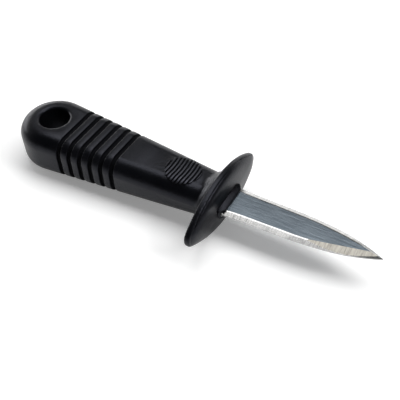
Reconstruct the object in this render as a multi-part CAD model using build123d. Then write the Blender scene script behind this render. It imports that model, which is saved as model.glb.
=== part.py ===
from build123d import *
import math
import os

# Knife with a leaf-shaped blade, a hard core moulded round its tang, and a soft
# grip with an oval hand guard. It is modelled along its own axis, with the tip
# towards +X, the blade's faces up and down, and x = 0 at the blade's root.
# At the end it is tipped to lie on the guard's rim and the butt.

# Blade, one stamping with its tang
blade_length = 70.0
blade_root_width = 18.1
blade_thickness = 2.2
blade_edge = 0.5
shoulder_depth = 7.0
tang_length = 74.0
tang_width = 12.0
tang_hole = 4.5
tang_hole_spacing = 22.0

# Grip: half widths, and heights over and under the knife's axis
hole_from_nose = 97.3
butt_half_width = 17.4
front_half_width = 10.5
butt_top = 12.6
waist_top = 10.4
front_top = 7.5
butt_under = 11.5
waist_under = 10.3
front_under = 8.2
grip_round = 7.4
grip_wall = 3.2

# Hang hole through the butt
hang_hole = 14.6
hang_rim_round = 1.5
hang_wall = 2.6

# Grooves round the grip
groove_count = 6
groove_pitch = 5.7
groove_width = 2.3
groove_depth = 1.4
first_groove_from_hole = 13.5

# Thumb pad of fine bowed ribs on top
pad_from_nose = 24.3
pad_across = 17.0
pad_rib_pitch = 1.7
pad_rib_width = 0.8
pad_rib_height = 0.6
pad_rib_bow_radius = 45.0

# Guard, an oval plate with a domed front, and the flare behind it
guard_width = 60.6
guard_height = 26.6
guard_end_radius = 5.0
guard_rim = 2.9
guard_dome = 2.6
rim_round = 1.1
flare_from_nose = 16.5

# Flange inside the guard, and the nose round the blade's root
flange_thickness = 1.4
flange_margin = 4.4
nose_width = 20.6
nose_side_height = 4.4
nose_base_height = 9.4
nose_front_height = 5.6
nose_reach = 0.9
nose_length = 1.6

overrun = 1.0

# Shares of the blade's length and of its half width at the root
blade_station_shares = (0, 0.3, 0.5, 0.65, 0.78, 0.9, 1)
blade_outline_shares = (1, 0.927, 0.88, 0.77, 0.6, 0.32, 0)
flat_station_shares = (0, 0.3, 0.5, 0.65, 0.77, 0.87, 0.945)
flat_outline_shares = (0.735, 0.665, 0.62, 0.515, 0.37, 0.195, 0)

# Shares of the way from the flare's start to the middle of the guard's rim, and
# of the guard's half width and half height there
flare_station_shares = (0, 0.36, 0.64, 0.82, 1)
flare_width_shares = (0.27, 0.37, 0.45, 0.56, 0.8)
flare_height_shares = (0.46, 0.62, 0.72, 0.82, 0.9)

# Shares of the dome's height and of the guard's outline
dome_height_shares = (0, 0.42, 0.74, 0.93, 1)
dome_outline_shares = (0.96, 0.87, 0.68, 0.42, 0.15)

guard_front = -nose_length - guard_dome
guard_middle = guard_front - guard_rim / 2
guard_back = guard_front - guard_rim
hole_x = -hole_from_nose
butt_x = hole_x - butt_half_width


def blend(start, end, share):
    return start + (end - start) * share


def oval(x, half_width, half_height):
    """An upright oval face square to the knife's axis."""
    square = Plane(origin=(x, 0, 0), x_dir=(0, 1, 0), z_dir=(1, 0, 0))
    return square * Ellipse(half_width, half_height)


def guard_oval(x, share):
    """The guard's outline drawn in to a share of its size: two long arcs and two short."""
    half_width = guard_width / 2 * share
    half_height = guard_height / 2 * share
    end_radius = guard_end_radius * share
    reach = half_width - end_radius
    arc_radius = (reach**2 + half_height**2 - end_radius**2) / (half_height - end_radius) / 2
    touch_y = arc_radius * reach / (arc_radius - end_radius)
    touch_z = (arc_radius - half_height) * end_radius / (arc_radius - end_radius)
    top = ThreePointArc((x, touch_y, touch_z), (x, 0, half_height), (x, -touch_y, touch_z))
    near = ThreePointArc((x, -touch_y, touch_z), (x, -half_width, 0), (x, -touch_y, -touch_z))
    under = ThreePointArc((x, -touch_y, -touch_z), (x, 0, -half_height), (x, touch_y, -touch_z))
    far = ThreePointArc((x, touch_y, -touch_z), (x, half_width, 0), (x, touch_y, touch_z))
    return Face(Wire([top.edge(), near.edge(), under.edge(), far.edge()]))


def plan_face(inset):
    """The grip from above: a round butt whose sides run on as tangents."""
    half = butt_half_width - inset
    lean = math.asin((butt_half_width - front_half_width) / (guard_middle - hole_x))
    touch_x = hole_x + half * math.sin(lean)
    touch_y = half * math.cos(lean)
    front_y = touch_y - (guard_middle - touch_x) * math.tan(lean)
    butt = ThreePointArc((touch_x, touch_y), (hole_x - half, 0), (touch_x, -touch_y))
    near = Line((touch_x, -touch_y), (guard_middle, -front_y))
    front = Line((guard_middle, -front_y), (guard_middle, front_y))
    far = Line((guard_middle, front_y), (touch_x, touch_y))
    return make_face([butt, near, front, far])


def side_face(inset):
    """The grip from the side: two long arcs that close in towards the guard."""
    waist_x = (butt_x + guard_middle) / 2
    top = ThreePointArc(
        (butt_x, butt_top - inset), (waist_x, waist_top - inset), (guard_middle, front_top - inset))
    under = ThreePointArc(
        (butt_x, inset - butt_under), (waist_x, inset - waist_under), (guard_middle, inset - front_under))
    front = Line(top @ 1, under @ 1)
    back = Line(under @ 0, top @ 0)
    return Plane.XZ * make_face([top, front, under, back])


def grip_shape(inset):
    """The grip from the butt to the middle of the guard, drawn in by inset."""
    plan = extrude(plan_face(inset), butt_top + butt_under, both=True)
    body = plan & extrude(side_face(inset), butt_half_width + overrun, both=True)

    def runs_along(edge):
        upright = abs(edge.tangent_at(0.5).Z) > 0.5
        at_front = abs(edge.center().X - guard_middle) < butt_half_width / 1000
        return not upright and not at_front

    return fillet(body.edges().filter_by(runs_along), grip_round - inset)


def flare():
    """The hollow curve that the grip spreads by into the guard's back."""
    rows = []
    shares = zip(flare_station_shares, flare_width_shares, flare_height_shares)
    for along, wide, high in shares:
        x = blend(-flare_from_nose, guard_middle, along)
        rows.append(oval(x, guard_width / 2 * wide, guard_height / 2 * high))
    return loft(rows)


def guard():
    plate = extrude(guard_oval(guard_back, 1), guard_rim, dir=(1, 0, 0))
    plate = fillet(plate.edges().filter_by(Axis.X, reverse=True), rim_round)
    rows = []
    for high, wide in zip(dome_height_shares, dome_outline_shares):
        rows.append(guard_oval(guard_front + guard_dome * high, wide))
    return plate + loft(rows)


def hang_bore(radius):
    bore = Cylinder(radius, butt_top + butt_under + 2 * overrun)
    return Pos(hole_x, 0, (butt_top - butt_under) / 2) * bore


def round_hang_rim(body):
    """Rounds the edges that the hang hole leaves on the grip's top and underside."""
    def on_rim(edge):
        middle = edge.center()
        off_axis = math.hypot(middle.X - hole_x, middle.Y)
        return off_axis < (hang_hole + hang_rim_round) / 2 and abs(middle.Z) > butt_under / 2

    return fillet(body.edges().filter_by(on_rim), hang_rim_round)


def groove_rings():
    """What the grooves take away: slabs across the grip, less its drawn-in shape."""
    size = 2 * (butt_half_width + butt_top + overrun)
    slabs = []
    for number in range(groove_count):
        x = hole_x + first_groove_from_hole + groove_pitch * number
        slabs.append(Pos(x, 0, 0) * Box(groove_width, size, size))
    return Part() + slabs - grip_shape(groove_depth)


def thumb_ribs():
    """Bowed ribs in a round patch, standing proud of the grip's top."""
    patch = Pos(-pad_from_nose, 0, 0) * Cylinder(
        pad_across / 2, butt_top, align=(Align.CENTER, Align.CENTER, Align.MIN))
    ribs = []
    rib_count = int(pad_across / pad_rib_pitch / 2)
    for number in range(-rib_count, rib_count + 1):
        centre = -pad_from_nose + pad_rib_pitch * number - pad_rib_bow_radius
        ring = Cylinder(pad_rib_bow_radius + pad_rib_width / 2, 2 * butt_top)
        ring -= Cylinder(pad_rib_bow_radius - pad_rib_width / 2, 2 * butt_top)
        ribs.append(Pos(centre, 0, 0) * ring & patch)
    return (Part() + ribs) & grip_shape(-pad_rib_height)


def blade_face(z, station_shares, outline_shares):
    """The blade's outline at one height, a straight root and two curved edges."""
    points = []
    for along, wide in zip(station_shares, outline_shares):
        points.append((blade_length * along, blade_root_width / 2 * wide, z))
    far = Spline(points)
    near = mirror(far, about=Plane.XZ)
    root = Line(near @ 0, far @ 0)
    return Face(Wire([root.edge(), far.edge(), near.edge()]))


def tang():
    """The hidden end: full width at the shoulder, then a holed strip."""
    shank = Pos(-shoulder_depth / 2, 0, 0) * Box(shoulder_depth, blade_root_width, blade_thickness)
    strip = Pos(-shoulder_depth - tang_length / 2, 0, 0) * Box(tang_length, tang_width, blade_thickness)
    strip = fillet(strip.edges().filter_by(Axis.Z).group_by(Axis.X)[0], tang_width / 4)
    body = shank + strip
    for number in range(3):
        x = -shoulder_depth - tang_hole_spacing * (number + 0.5)
        body -= Pos(x, 0, 0) * Cylinder(tang_hole / 2, blade_thickness + overrun)
    return body


def blade():
    edge_face = blade_face(blade_edge / 2, blade_station_shares, blade_outline_shares)
    flat_face = blade_face(blade_thickness / 2, flat_station_shares, flat_outline_shares)
    band = extrude(edge_face, amount=blade_edge, dir=(0, 0, -1))
    upper = loft([edge_face, flat_face], ruled=True)
    lower = mirror(upper, about=Plane.XY)
    return band + upper + lower + tang()


def nose_face(x, half_height):
    """The nose's section: low at the blade's edges, arched over its faces."""
    side = nose_side_height / 2
    half_width = nose_width / 2
    corner = (half_width + blade_root_width / 2) / 2
    top = ThreePointArc((x, corner, side), (x, 0, half_height), (x, -corner, side))
    near = ThreePointArc((x, -corner, side), (x, -half_width, 0), (x, -corner, -side))
    under = ThreePointArc((x, -corner, -side), (x, 0, -half_height), (x, corner, -side))
    far = ThreePointArc((x, corner, -side), (x, half_width, 0), (x, corner, side))
    return Face(Wire([top.edge(), near.edge(), under.edge(), far.edge()]))


def nose():
    """The collar that the blade leaves by: arched at its base, flatter at its front."""
    base = nose_face(guard_middle, nose_base_height / 2)
    front = nose_face(nose_reach, nose_front_height / 2)
    return loft([base, front], ruled=True)


def core(blade_part):
    """Hard plastic from the butt to the nose, with a flange inside the guard."""
    body = grip_shape(grip_wall) - hang_bore(hang_hole / 2 + hang_wall)
    flange_half_width = guard_width / 2 - flange_margin
    flange_half_height = guard_height / 2 - flange_margin
    flange_face = oval(guard_middle - flange_thickness / 2, flange_half_width, flange_half_height)
    return body + extrude(flange_face, flange_thickness) + nose() - blade_part


def grip(core_part, blade_part):
    """The soft outside, moulded over the core in one piece with the guard."""
    body = grip_shape(0) - groove_rings()
    body += [flare(), guard()]
    body = round_hang_rim(body - hang_bore(hang_hole / 2))
    body += thumb_ribs()
    return body - core_part - blade_part


def rest_place():
    """Tips the knife on to the guard's rim and the butt, centred over the floor."""
    rim_x = guard_back + rim_round
    contact_x = butt_x + grip_round
    tilt = math.atan((guard_height / 2 - butt_under) / (rim_x - contact_x))
    lift = rim_round + (guard_height / 2 - rim_round) * math.cos(tilt) - rim_x * math.sin(tilt)
    middle = (blade_length + butt_x) / 2
    return Pos(-middle * math.cos(tilt), 0, lift) * Rotation(0, -math.degrees(tilt), 0)


blade_part = blade()
core_part = core(blade_part)
grip_part = grip(core_part, blade_part)
parts = {"blade": blade_part, "core": core_part, "grip": grip_part}

place = rest_place()
os.makedirs("parts", exist_ok=True)
for name, part in parts.items():
    export_step(place * part, "parts/" + name + ".step")
    print(name, len(part.solids()), round(part.volume))
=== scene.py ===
from math import radians

import bmesh
import bpy
from mathutils import Euler, Matrix, Vector


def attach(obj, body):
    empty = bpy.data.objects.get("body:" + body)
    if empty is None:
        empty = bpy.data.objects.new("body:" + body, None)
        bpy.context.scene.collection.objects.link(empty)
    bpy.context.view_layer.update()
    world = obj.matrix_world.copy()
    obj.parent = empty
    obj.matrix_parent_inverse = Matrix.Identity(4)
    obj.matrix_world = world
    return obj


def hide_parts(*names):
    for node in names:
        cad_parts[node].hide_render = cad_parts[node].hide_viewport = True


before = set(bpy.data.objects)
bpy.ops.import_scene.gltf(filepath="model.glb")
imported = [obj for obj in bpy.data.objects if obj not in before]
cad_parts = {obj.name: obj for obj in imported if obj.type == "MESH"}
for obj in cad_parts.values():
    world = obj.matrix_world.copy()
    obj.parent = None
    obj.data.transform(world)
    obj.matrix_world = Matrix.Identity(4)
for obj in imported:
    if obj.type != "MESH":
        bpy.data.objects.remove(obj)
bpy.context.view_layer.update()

mm = 0.001
micron = 0.001 * mm
knifeTilt = radians(1.018)  # the knife lies on its guard and butt, so its axis rises towards the tip
bladeRoot = Vector((22.346, 0, 13.405)) * mm  # the middle of the blade where it starts, at the nose
knifeFrame = Matrix.Translation(bladeRoot) @ Matrix.Rotation(-knifeTilt, 4, "Y")


# Materials

noiseReach = (0.3, 0.7)  # nearly every value of a noise lies between these


def newMaterial(name):
    material = bpy.data.materials.new(name)
    material.use_nodes = True
    return material, material.node_tree, material.node_tree.nodes["Principled BSDF"]


def objectCoordinates(tree, stretch):
    # Object coordinates turned to lie along the knife, then stretched per axis
    place = tree.nodes.new("ShaderNodeTexCoord")
    mapping = tree.nodes.new("ShaderNodeMapping")
    mapping.vector_type = "TEXTURE"
    mapping.inputs["Rotation"].default_value = (0, -knifeTilt, 0)
    mapping.inputs["Scale"].default_value = stretch
    tree.links.new(place.outputs["Object"], mapping.inputs["Vector"])
    return mapping.outputs["Vector"]


def noise(tree, vector, scale, detail, roughness):
    texture = tree.nodes.new("ShaderNodeTexNoise")
    texture.inputs["Scale"].default_value = scale
    texture.inputs["Detail"].default_value = detail
    texture.inputs["Roughness"].default_value = roughness
    tree.links.new(vector, texture.inputs["Vector"])
    return texture.outputs["Fac"]


def spread(tree, value, low, high):
    # Turns a noise value into a number between low and high
    spreading = tree.nodes.new("ShaderNodeMapRange")
    spreading.inputs["From Min"].default_value, spreading.inputs["From Max"].default_value = noiseReach
    spreading.inputs["To Min"].default_value = low
    spreading.inputs["To Max"].default_value = high
    tree.links.new(value, spreading.inputs["Value"])
    return spreading.outputs["Result"]


def tones(tree, value, dark, light, reach=noiseReach):
    # Turns a noise value into a colour between dark and light
    ramp = tree.nodes.new("ShaderNodeValToRGB")
    for stop, position, tone in zip(ramp.color_ramp.elements, reach, (dark, light)):
        stop.position = position
        stop.color = (*tone, 1)
    tree.links.new(value, ramp.inputs["Fac"])
    return ramp.outputs["Color"]


def bump(tree, shader, height, depth):
    relief = tree.nodes.new("ShaderNodeBump")
    relief.inputs["Strength"].default_value = 1
    relief.inputs["Distance"].default_value = depth
    tree.links.new(height, relief.inputs["Height"])
    tree.links.new(relief.outputs["Normal"], shader.inputs["Normal"])


# Each noise is a detail and a roughness
moulding = dict(
    sheenScale=60, sheenNoise=(2, 0.5), grainNoise=(3, 0.6),
    tint=(0.80, 0.83, 1.0, 1),  # the black shines faintly blue
)
rubber = dict(
    dark=(0.0014, 0.0015, 0.0021), light=(0.0032, 0.0034, 0.0044),
    roughness=(0.28, 0.36), grain=0.9 * mm, grainDepth=0.09 * mm, specular=0.24,
)
# Painted highlight: a lighter, shinier rubber for the thumb ribs' crests, where light catches them
ribHighlightFinish = dict(
    dark=(0.0030, 0.0031, 0.0038), light=(0.0060, 0.0062, 0.0072),
    roughness=(0.30, 0.38), grain=0.55 * mm, grainDepth=0.020 * mm, specular=0.46,
)
# Painted shade: a darker, duller rubber for the groove middles and the gaps between the thumb ribs, where
# the moulding lies in shade; the rougher finish is part of it too
grooveShadeFinish = dict(
    dark=(0.0012, 0.0012, 0.0014), light=(0.0020, 0.0020, 0.0024),
    roughness=(0.75, 0.85), grain=0.2 * mm, grainDepth=0.020 * mm, specular=0.10,
)
plastic = dict(
    dark=(0.0014, 0.0014, 0.0018), light=(0.0030, 0.0030, 0.0036),
    roughness=(0.28, 0.36), grain=1.1 * mm, grainDepth=0.12 * mm, specular=0.20,
)
steel = dict(
    flatDark=(0.050, 0.064, 0.078), flatLight=(0.205, 0.238, 0.268), flatReach=(0.36, 0.64),
    lineLength=14 * mm, lineWidth=0.30 * mm, lineDepth=0.006 * mm, lineNoise=(4, 0.65),
    groundDark=(0.30, 0.302, 0.302), groundLight=(0.56, 0.555, 0.545),
    tipDark=(0.115, 0.109, 0.098), tipLight=(0.245, 0.234, 0.208),
    scratchWidth=0.4 * mm, scratchLength=6 * mm, scratchDepth=0.005 * mm, scratchNoise=(3, 0.6),
    flatRoughness=(0.34, 0.24), groundRoughness=0.22, honedRoughness=0.12, tipRoughness=0.30,
)


def makeMoulded(name, finish):
    # Soft or hard black moulding: a fine grain with slow changes of tone and sheen
    material, tree, shader = newMaterial(name)
    even = objectCoordinates(tree, (1, 1, 1))
    slow = noise(tree, even, moulding["sheenScale"], *moulding["sheenNoise"])
    fine = noise(tree, even, 1 / finish["grain"], *moulding["grainNoise"])
    tree.links.new(tones(tree, slow, finish["dark"], finish["light"]), shader.inputs["Base Color"])
    tree.links.new(spread(tree, slow, *finish["roughness"]), shader.inputs["Roughness"])
    shader.inputs["Specular IOR Level"].default_value = finish["specular"]
    shader.inputs["Specular Tint"].default_value = moulding["tint"]
    bump(tree, shader, fine, finish["grainDepth"])
    return material


def makeBrushed(name):
    # The flats are brushed along the blade: long fine lines in tone, gloss and relief
    material, tree, shader = newMaterial(name)
    along = objectCoordinates(tree, (steel["lineLength"], steel["lineWidth"], steel["lineWidth"]))
    lines = noise(tree, along, 1, *steel["lineNoise"])
    tone = tones(tree, lines, steel["flatDark"], steel["flatLight"], steel["flatReach"])
    tree.links.new(tone, shader.inputs["Base Color"])
    tree.links.new(spread(tree, lines, *steel["flatRoughness"]), shader.inputs["Roughness"])
    shader.inputs["Metallic"].default_value = 1
    bump(tree, shader, lines, steel["lineDepth"])
    return material


def makeGround(name, dark, light, roughness):
    # The bevels are ground across the blade, so their scratches run to the edge
    material, tree, shader = newMaterial(name)
    across = objectCoordinates(tree, (steel["scratchWidth"], steel["scratchLength"], steel["scratchLength"]))
    scratches = noise(tree, across, 1, *steel["scratchNoise"])
    tree.links.new(tones(tree, scratches, dark, light), shader.inputs["Base Color"])
    shader.inputs["Roughness"].default_value = roughness
    shader.inputs["Metallic"].default_value = 1
    bump(tree, shader, scratches, steel["scratchDepth"])
    return material


gripRubber = makeMoulded("gripRubber", rubber)
# Painted shade: darker rubber for the grooves and the gaps between the thumb ribs
grooveShadeRubber = makeMoulded("grooveShadeRubber", grooveShadeFinish)
# Painted highlight: lighter, shinier rubber for the crests of the thumb ribs
ribHighlightRubber = makeMoulded("ribHighlightRubber", ribHighlightFinish)
nosePlastic = makeMoulded("nosePlastic", plastic)
brushedSteel = makeBrushed("brushedSteel")
groundSteel = makeGround("groundSteel", steel["groundDark"], steel["groundLight"], steel["groundRoughness"])
honedSteel = makeGround("honedSteel", steel["groundDark"], steel["groundLight"], steel["honedRoughness"])
tipSteel = makeGround("tipSteel", steel["tipDark"], steel["tipLight"], steel["tipRoughness"])
print("materials made")


# Pieces

# Each is shaped from its CAD node in the knife's own frame, in which places along the knife are
# measured from the blade's root: more than zero towards the tip, less than zero towards the butt
weldGap = 0.0005 * mm
flatAngle = radians(0.3)  # faces that lie closer to one plane than this become one face
cornerAngle = radians(40)  # edges that turn further than this are corners
creaseAngle = radians(35)  # edges that turn further than this are shaded sharp


def newObject(name, data):
    added = bpy.data.objects.new(name, data)
    bpy.context.scene.collection.objects.link(added)
    return added


def mergedCopy(node):
    # A welded copy of a CAD node's mesh to work on; the node itself is left alone
    mesh = bmesh.new()
    mesh.from_mesh(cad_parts[node].data)
    bmesh.ops.remove_doubles(mesh, verts=mesh.verts, dist=weldGap)
    bmesh.ops.dissolve_limit(
        mesh, angle_limit=flatAngle, use_dissolve_boundaries=False,
        verts=mesh.verts, edges=mesh.edges, delimit=set())
    mesh.transform(knifeFrame.inverted())
    return mesh


def finishPiece(mesh, name, node, finishes, crease=creaseAngle):
    mesh.transform(knifeFrame)
    data = bpy.data.meshes.new(name)
    mesh.to_mesh(data)
    mesh.free()
    piece = newObject(name, data)
    for finish in finishes:
        data.materials.append(finish)
    data.shade_smooth()
    data.set_sharp_from_angle(angle=crease)
    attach(piece, "root")
    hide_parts(node)


def everyPart(mesh):
    return mesh.verts[:] + mesh.edges[:] + mesh.faces[:]


def turnAt(edge):
    # How far the surface turns at an edge, which is not at all where it doesn't join two faces
    return edge.calc_face_angle() if len(edge.link_faces) == 2 else 0


def cutAway(mesh, parts, place, normal):
    # Cuts off what lies past a plane, on its normal's side, and closes the hole
    cut = bmesh.ops.bisect_plane(mesh, geom=parts, plane_co=place, plane_no=normal, clear_outer=True)
    rim = [part for part in cut["geom_cut"] if isinstance(part, bmesh.types.BMEdge)]
    bmesh.ops.contextual_create(mesh, geom=rim)


def dropSlivers(mesh, size):
    bmesh.ops.remove_doubles(mesh, verts=mesh.verts, dist=size)
    bmesh.ops.dissolve_degenerate(mesh, edges=mesh.edges, dist=size)


def bevelEdges(mesh, edges, width, segments, clamped):
    bmesh.ops.bevel(
        mesh, geom=edges, offset=width, offset_type="OFFSET", affect="EDGES",
        segments=segments, profile=0.5, material=-1, clamp_overlap=clamped)
    dropSlivers(mesh, micron)


def softenCorners(mesh, inside, width, segments):
    # Rounds the corners whose ends both pass the test inside
    edges = [edge for edge in mesh.edges
             if turnAt(edge) > cornerAngle and all(inside(vert.co) for vert in edge.verts)]
    bevelEdges(mesh, edges, width, segments, clamped=True)
    print("softened", len(edges), "edges")


grip = dict(
    firstGroove=-83.8 * mm, groovePitch=5.7 * mm, grooveCount=6, grooveWidth=2.3 * mm,
    grooveEdge=0.35 * mm, grooveSegments=3,
    # The share of a groove's width that is painted with the groove shade
    shadeShare=0.52,  # of a groove's width, to each side of its middle
    padStart=-34 * mm, padEnd=-14 * mm, padFloor=6.2 * mm, padEdge=0.12 * mm, padSegments=2,
    padCentre=Vector((-24.3, 0)) * mm, padRadius=8.7 * mm,
)
# The grip's plain rubber, its painted groove shade and its painted rib highlight
gripMaterialsWithPaintedLight = [gripRubber, grooveShadeRubber, ribHighlightRubber]


def insidePad(face):
    return all(vert.co.z > grip["padFloor"] and (vert.co.xy - grip["padCentre"]).length < grip["padRadius"]
               for vert in face.verts)


def meetsCorner(face, convex):
    # True where the face ends in a corner of that kind, outer or inner
    return any(turnAt(edge) > cornerAngle and edge.is_convex == convex for edge in face.edges)


def paintPadShadeAndHighlight(mesh):
    # The gaps between the thumb ribs get painted shade, a darker and duller rubber, and their crests a
    # painted highlight, a lighter and shinier rubber
    for face in mesh.faces:
        if insidePad(face) and meetsCorner(face, False):
            face.material_index = gripMaterialsWithPaintedLight.index(grooveShadeRubber)
        elif insidePad(face) and meetsCorner(face, True):
            face.material_index = gripMaterialsWithPaintedLight.index(ribHighlightRubber)


# Paints shade into the grooves: faces near each groove's middle get the darker groove rubber
def paintGrooveShade(mesh):
    for face in mesh.faces:
        along = face.calc_center_median().x - grip["firstGroove"]
        number = round(along / grip["groovePitch"])
        offCentre = abs(along - number * grip["groovePitch"])
        if 0 <= number < grip["grooveCount"] and offCentre < grip["grooveWidth"] * grip["shadeShare"]:
            face.material_index = gripMaterialsWithPaintedLight.index(grooveShadeRubber)


def makeGrip():
    mesh = mergedCopy("grip")
    paintPadShadeAndHighlight(mesh)
    start = grip["firstGroove"] - grip["groovePitch"] / 2
    end = start + grip["groovePitch"] * grip["grooveCount"]
    softenCorners(mesh, lambda place: start < place.x < end, grip["grooveEdge"], grip["grooveSegments"])
    softenCorners(
        mesh, lambda place: grip["padStart"] < place.x < grip["padEnd"] and place.z > grip["padFloor"],
        grip["padEdge"], grip["padSegments"])
    paintGrooveShade(mesh)
    finishPiece(mesh, "gripMoulding", "grip", gripMaterialsWithPaintedLight)


makeGrip()
print("grip made")


# The facet at the tip is given by two points on the blade's flat, each along and across the knife.
# A face's finish follows from how far its normal points up or down: fully on the flats, less elsewhere.
blade = dict(
    halfThickness=1.1 * mm,
    facetStart=(41 * mm, 4.6 * mm), facetEnd=(62 * mm, -0.2 * mm), facetTilt=radians(12),
    lineWidth=0.3 * mm, lineSegments=1, lineEnd=60 * mm, ridgeLeast=radians(13), ridgeMost=radians(30),
    flatUp=0.9995, facetUp=0.97, bevelUp=0.6, crease=radians(5),
)
bladeFinishes = [brushedSteel, groundSteel, honedSteel, tipSteel]


def grindTip(mesh, side, upward):
    # Grinds one slanting facet near the tip: side is 1 far or -1 near, upward is 1 above or -1 below
    start, end = (Vector((along, across * side, blade["halfThickness"] * upward))
                  for along, across in (blade["facetStart"], blade["facetEnd"]))
    ridge = (end - start).normalized()
    slants = [Matrix.Rotation(tilt, 3, ridge) @ Vector((0, 0, upward))
              for tilt in (blade["facetTilt"], -blade["facetTilt"])]
    cutAway(mesh, everyPart(mesh), start, max(slants, key=lambda slant: slant.y * side))


def isRidge(edge):
    # True between a flat and a bevel, but not close to the tip
    return (blade["ridgeLeast"] < turnAt(edge) < blade["ridgeMost"]
            and max(abs(face.normal.z) for face in edge.link_faces) > blade["flatUp"]
            and max(vert.co.x for vert in edge.verts) < blade["lineEnd"])


def bladeFinish(face):
    up = abs(face.normal.z)
    if up > blade["flatUp"]:
        return brushedSteel
    if up > blade["facetUp"] and face.calc_center_median().x > blade["facetStart"][0]:
        return tipSteel
    if up > blade["bevelUp"]:
        return groundSteel
    return honedSteel


def makeBlade():
    mesh = mergedCopy("blade")
    grindTip(mesh, side=-1, upward=1)
    grindTip(mesh, side=1, upward=-1)
    bmesh.ops.recalc_face_normals(mesh, faces=mesh.faces)
    ridges = [edge for edge in mesh.edges if isRidge(edge)]
    bevelEdges(mesh, ridges, blade["lineWidth"], blade["lineSegments"], clamped=False)
    print("lined", len(ridges), "ridges")
    for face in mesh.faces:
        face.material_index = bladeFinishes.index(bladeFinish(face))
    finishPiece(mesh, "bladeSteel", "blade", bladeFinishes, blade["crease"])


makeBlade()
print("blade made")


# Each slant runs from its front to its back, given along the knife and outwards from its middle
nose = dict(
    sideFront=(0.9 * mm, 7.2 * mm), sideBack=(-1.4 * mm, 10.4 * mm),
    topFront=(0.9 * mm, 1.9 * mm), topBack=(-1.6 * mm, 3.65 * mm),
    edge=0.22 * mm, edgeSegments=2, smallest=0.05 * mm,
)


def slantNose(mesh, frontSize, backSize, outward):
    # Slants the nose's end on one side, after a cut right round it, so that the rest of the core stays whole
    forward = Vector((1, 0, 0))
    front, back = (forward * along + outward * out for along, out in (frontSize, backSize))
    bmesh.ops.bisect_plane(mesh, geom=everyPart(mesh), plane_co=back, plane_no=forward)
    ahead = [vert for vert in mesh.verts if vert.co.x > back.x - micron]
    chosen = set(ahead)
    proud = [part for part in mesh.edges[:] + mesh.faces[:] if chosen.issuperset(part.verts)]
    normal = (back - front).cross(outward.cross(forward))
    if normal.dot(front) < 0:
        normal.negate()
    cutAway(mesh, ahead + proud, front, normal)


def makeNose():
    mesh = mergedCopy("core")
    for side in (-1, 1):
        slantNose(mesh, nose["sideFront"], nose["sideBack"], Vector((0, side, 0)))
        slantNose(mesh, nose["topFront"], nose["topBack"], Vector((0, 0, side)))
    dropSlivers(mesh, nose["smallest"])
    softenCorners(mesh, lambda place: place.x > nose["topBack"][0], nose["edge"], nose["edgeSegments"])
    finishPiece(mesh, "noseCore", "core", [nosePlastic])


makeNose()
print("nose made")


# Floor, light and camera, in metres, watts and degrees

studio = dict(
    floorSize=8.0, floorTone=0.96,
    floorLift=0.24,  # what the floor adds to itself where it is seen, so that it comes out white
    ambientTone=(0.97, 0.985, 1.0, 1), ambientStrength=0.07,
    cameraPlace=(122.439 * mm, -187.554 * mm, 240.612 * mm), cameraTurn=(43.270, 1.684, 30.084),
    sensorWidth=36, lens=63,
)
# The near bevel mirrors the top lamp and the far bevel the back lamp. The top lamp is aimed at its
# own x, which keeps its long side along the knife.
lamps = dict(
    topLamp=dict(place=(0.18, 0.285, 0.85), aim=(0.18, 0, 0.01), size=(1.40, 0.60), power=9.0),
    backLamp=dict(place=(-0.15, 1.30, 0.31), aim=(0, 0, 0.01), size=(1.8, 0.30), power=3.6),
    leftLamp=dict(place=(-1.30, 0.45, 0.26), aim=(0, 0, 0.01), size=(1.4, 0.24), power=7.6),
    rightLamp=dict(place=(0.95, 0.16, 0.80), aim=(0, 0, 0.01), size=(0.30, 0.30), power=2.9),
)


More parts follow.
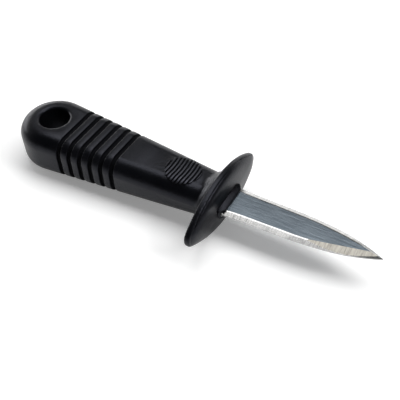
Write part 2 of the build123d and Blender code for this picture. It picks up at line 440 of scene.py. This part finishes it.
def makePaleFloor():
    # A matte white that also glows a little, but only for the rays that see it
    material, tree = newMaterial("paleFloor")[:2]
    tree.nodes.clear()
    output = tree.nodes.new("ShaderNodeOutputMaterial")
    matte = tree.nodes.new("ShaderNodeBsdfDiffuse")
    matte.inputs["Color"].default_value = (studio["floorTone"], studio["floorTone"], studio["floorTone"], 1)
    rays = tree.nodes.new("ShaderNodeLightPath")
    seen = rays.outputs["Is Camera Ray"]
    for kind in ("Is Glossy Ray", "Is Transmission Ray"):
        adding = tree.nodes.new("ShaderNodeMath")
        adding.operation = "ADD"
        tree.links.new(seen, adding.inputs[0])
        tree.links.new(rays.outputs[kind], adding.inputs[1])
        seen = adding.outputs[0]
    lift = tree.nodes.new("ShaderNodeMath")
    lift.operation = "MULTIPLY"
    lift.inputs[1].default_value = studio["floorLift"]
    tree.links.new(seen, lift.inputs[0])
    glow = tree.nodes.new("ShaderNodeEmission")
    tree.links.new(lift.outputs[0], glow.inputs["Strength"])
    both = tree.nodes.new("ShaderNodeAddShader")
    tree.links.new(matte.outputs[0], both.inputs[0])
    tree.links.new(glow.outputs[0], both.inputs[1])
    tree.links.new(both.outputs[0], output.inputs["Surface"])
    return material


def makeFloor():
    mesh = bmesh.new()
    bmesh.ops.create_grid(mesh, x_segments=1, y_segments=1, size=studio["floorSize"] / 2)
    data = bpy.data.meshes.new("floor")
    mesh.to_mesh(data)
    mesh.free()
    data.materials.append(makePaleFloor())
    floor = newObject("floor", data)


def makeLamp(name, place, aim, size, power):
    light = bpy.data.lights.new(name, "AREA")
    light.shape = "RECTANGLE"
    light.size, light.size_y = size
    light.energy = power
    lamp = newObject(name, light)
    lamp.location = place
    lamp.rotation_euler = (Vector(aim) - Vector(place)).to_track_quat("-Z", "Y").to_euler()


def makeWorld():
    world = bpy.data.worlds.new("studio")
    world.use_nodes = True
    background = world.node_tree.nodes["Background"]
    background.inputs["Color"].default_value = studio["ambientTone"]
    background.inputs["Strength"].default_value = studio["ambientStrength"]
    bpy.context.scene.world = world


def makeCamera():
    data = bpy.data.cameras.new("camera")
    data.sensor_width = studio["sensorWidth"]
    data.lens = studio["lens"]
    camera = newObject("camera", data)
    camera.location = studio["cameraPlace"]
    camera.rotation_euler = Euler([radians(turn) for turn in studio["cameraTurn"]])
    bpy.context.scene.camera = camera


makeFloor()
for lampName, lampValues in lamps.items():
    makeLamp(lampName, **lampValues)
makeWorld()
makeCamera()
bpy.context.scene.view_settings.view_transform = "Standard"
print("studio made")
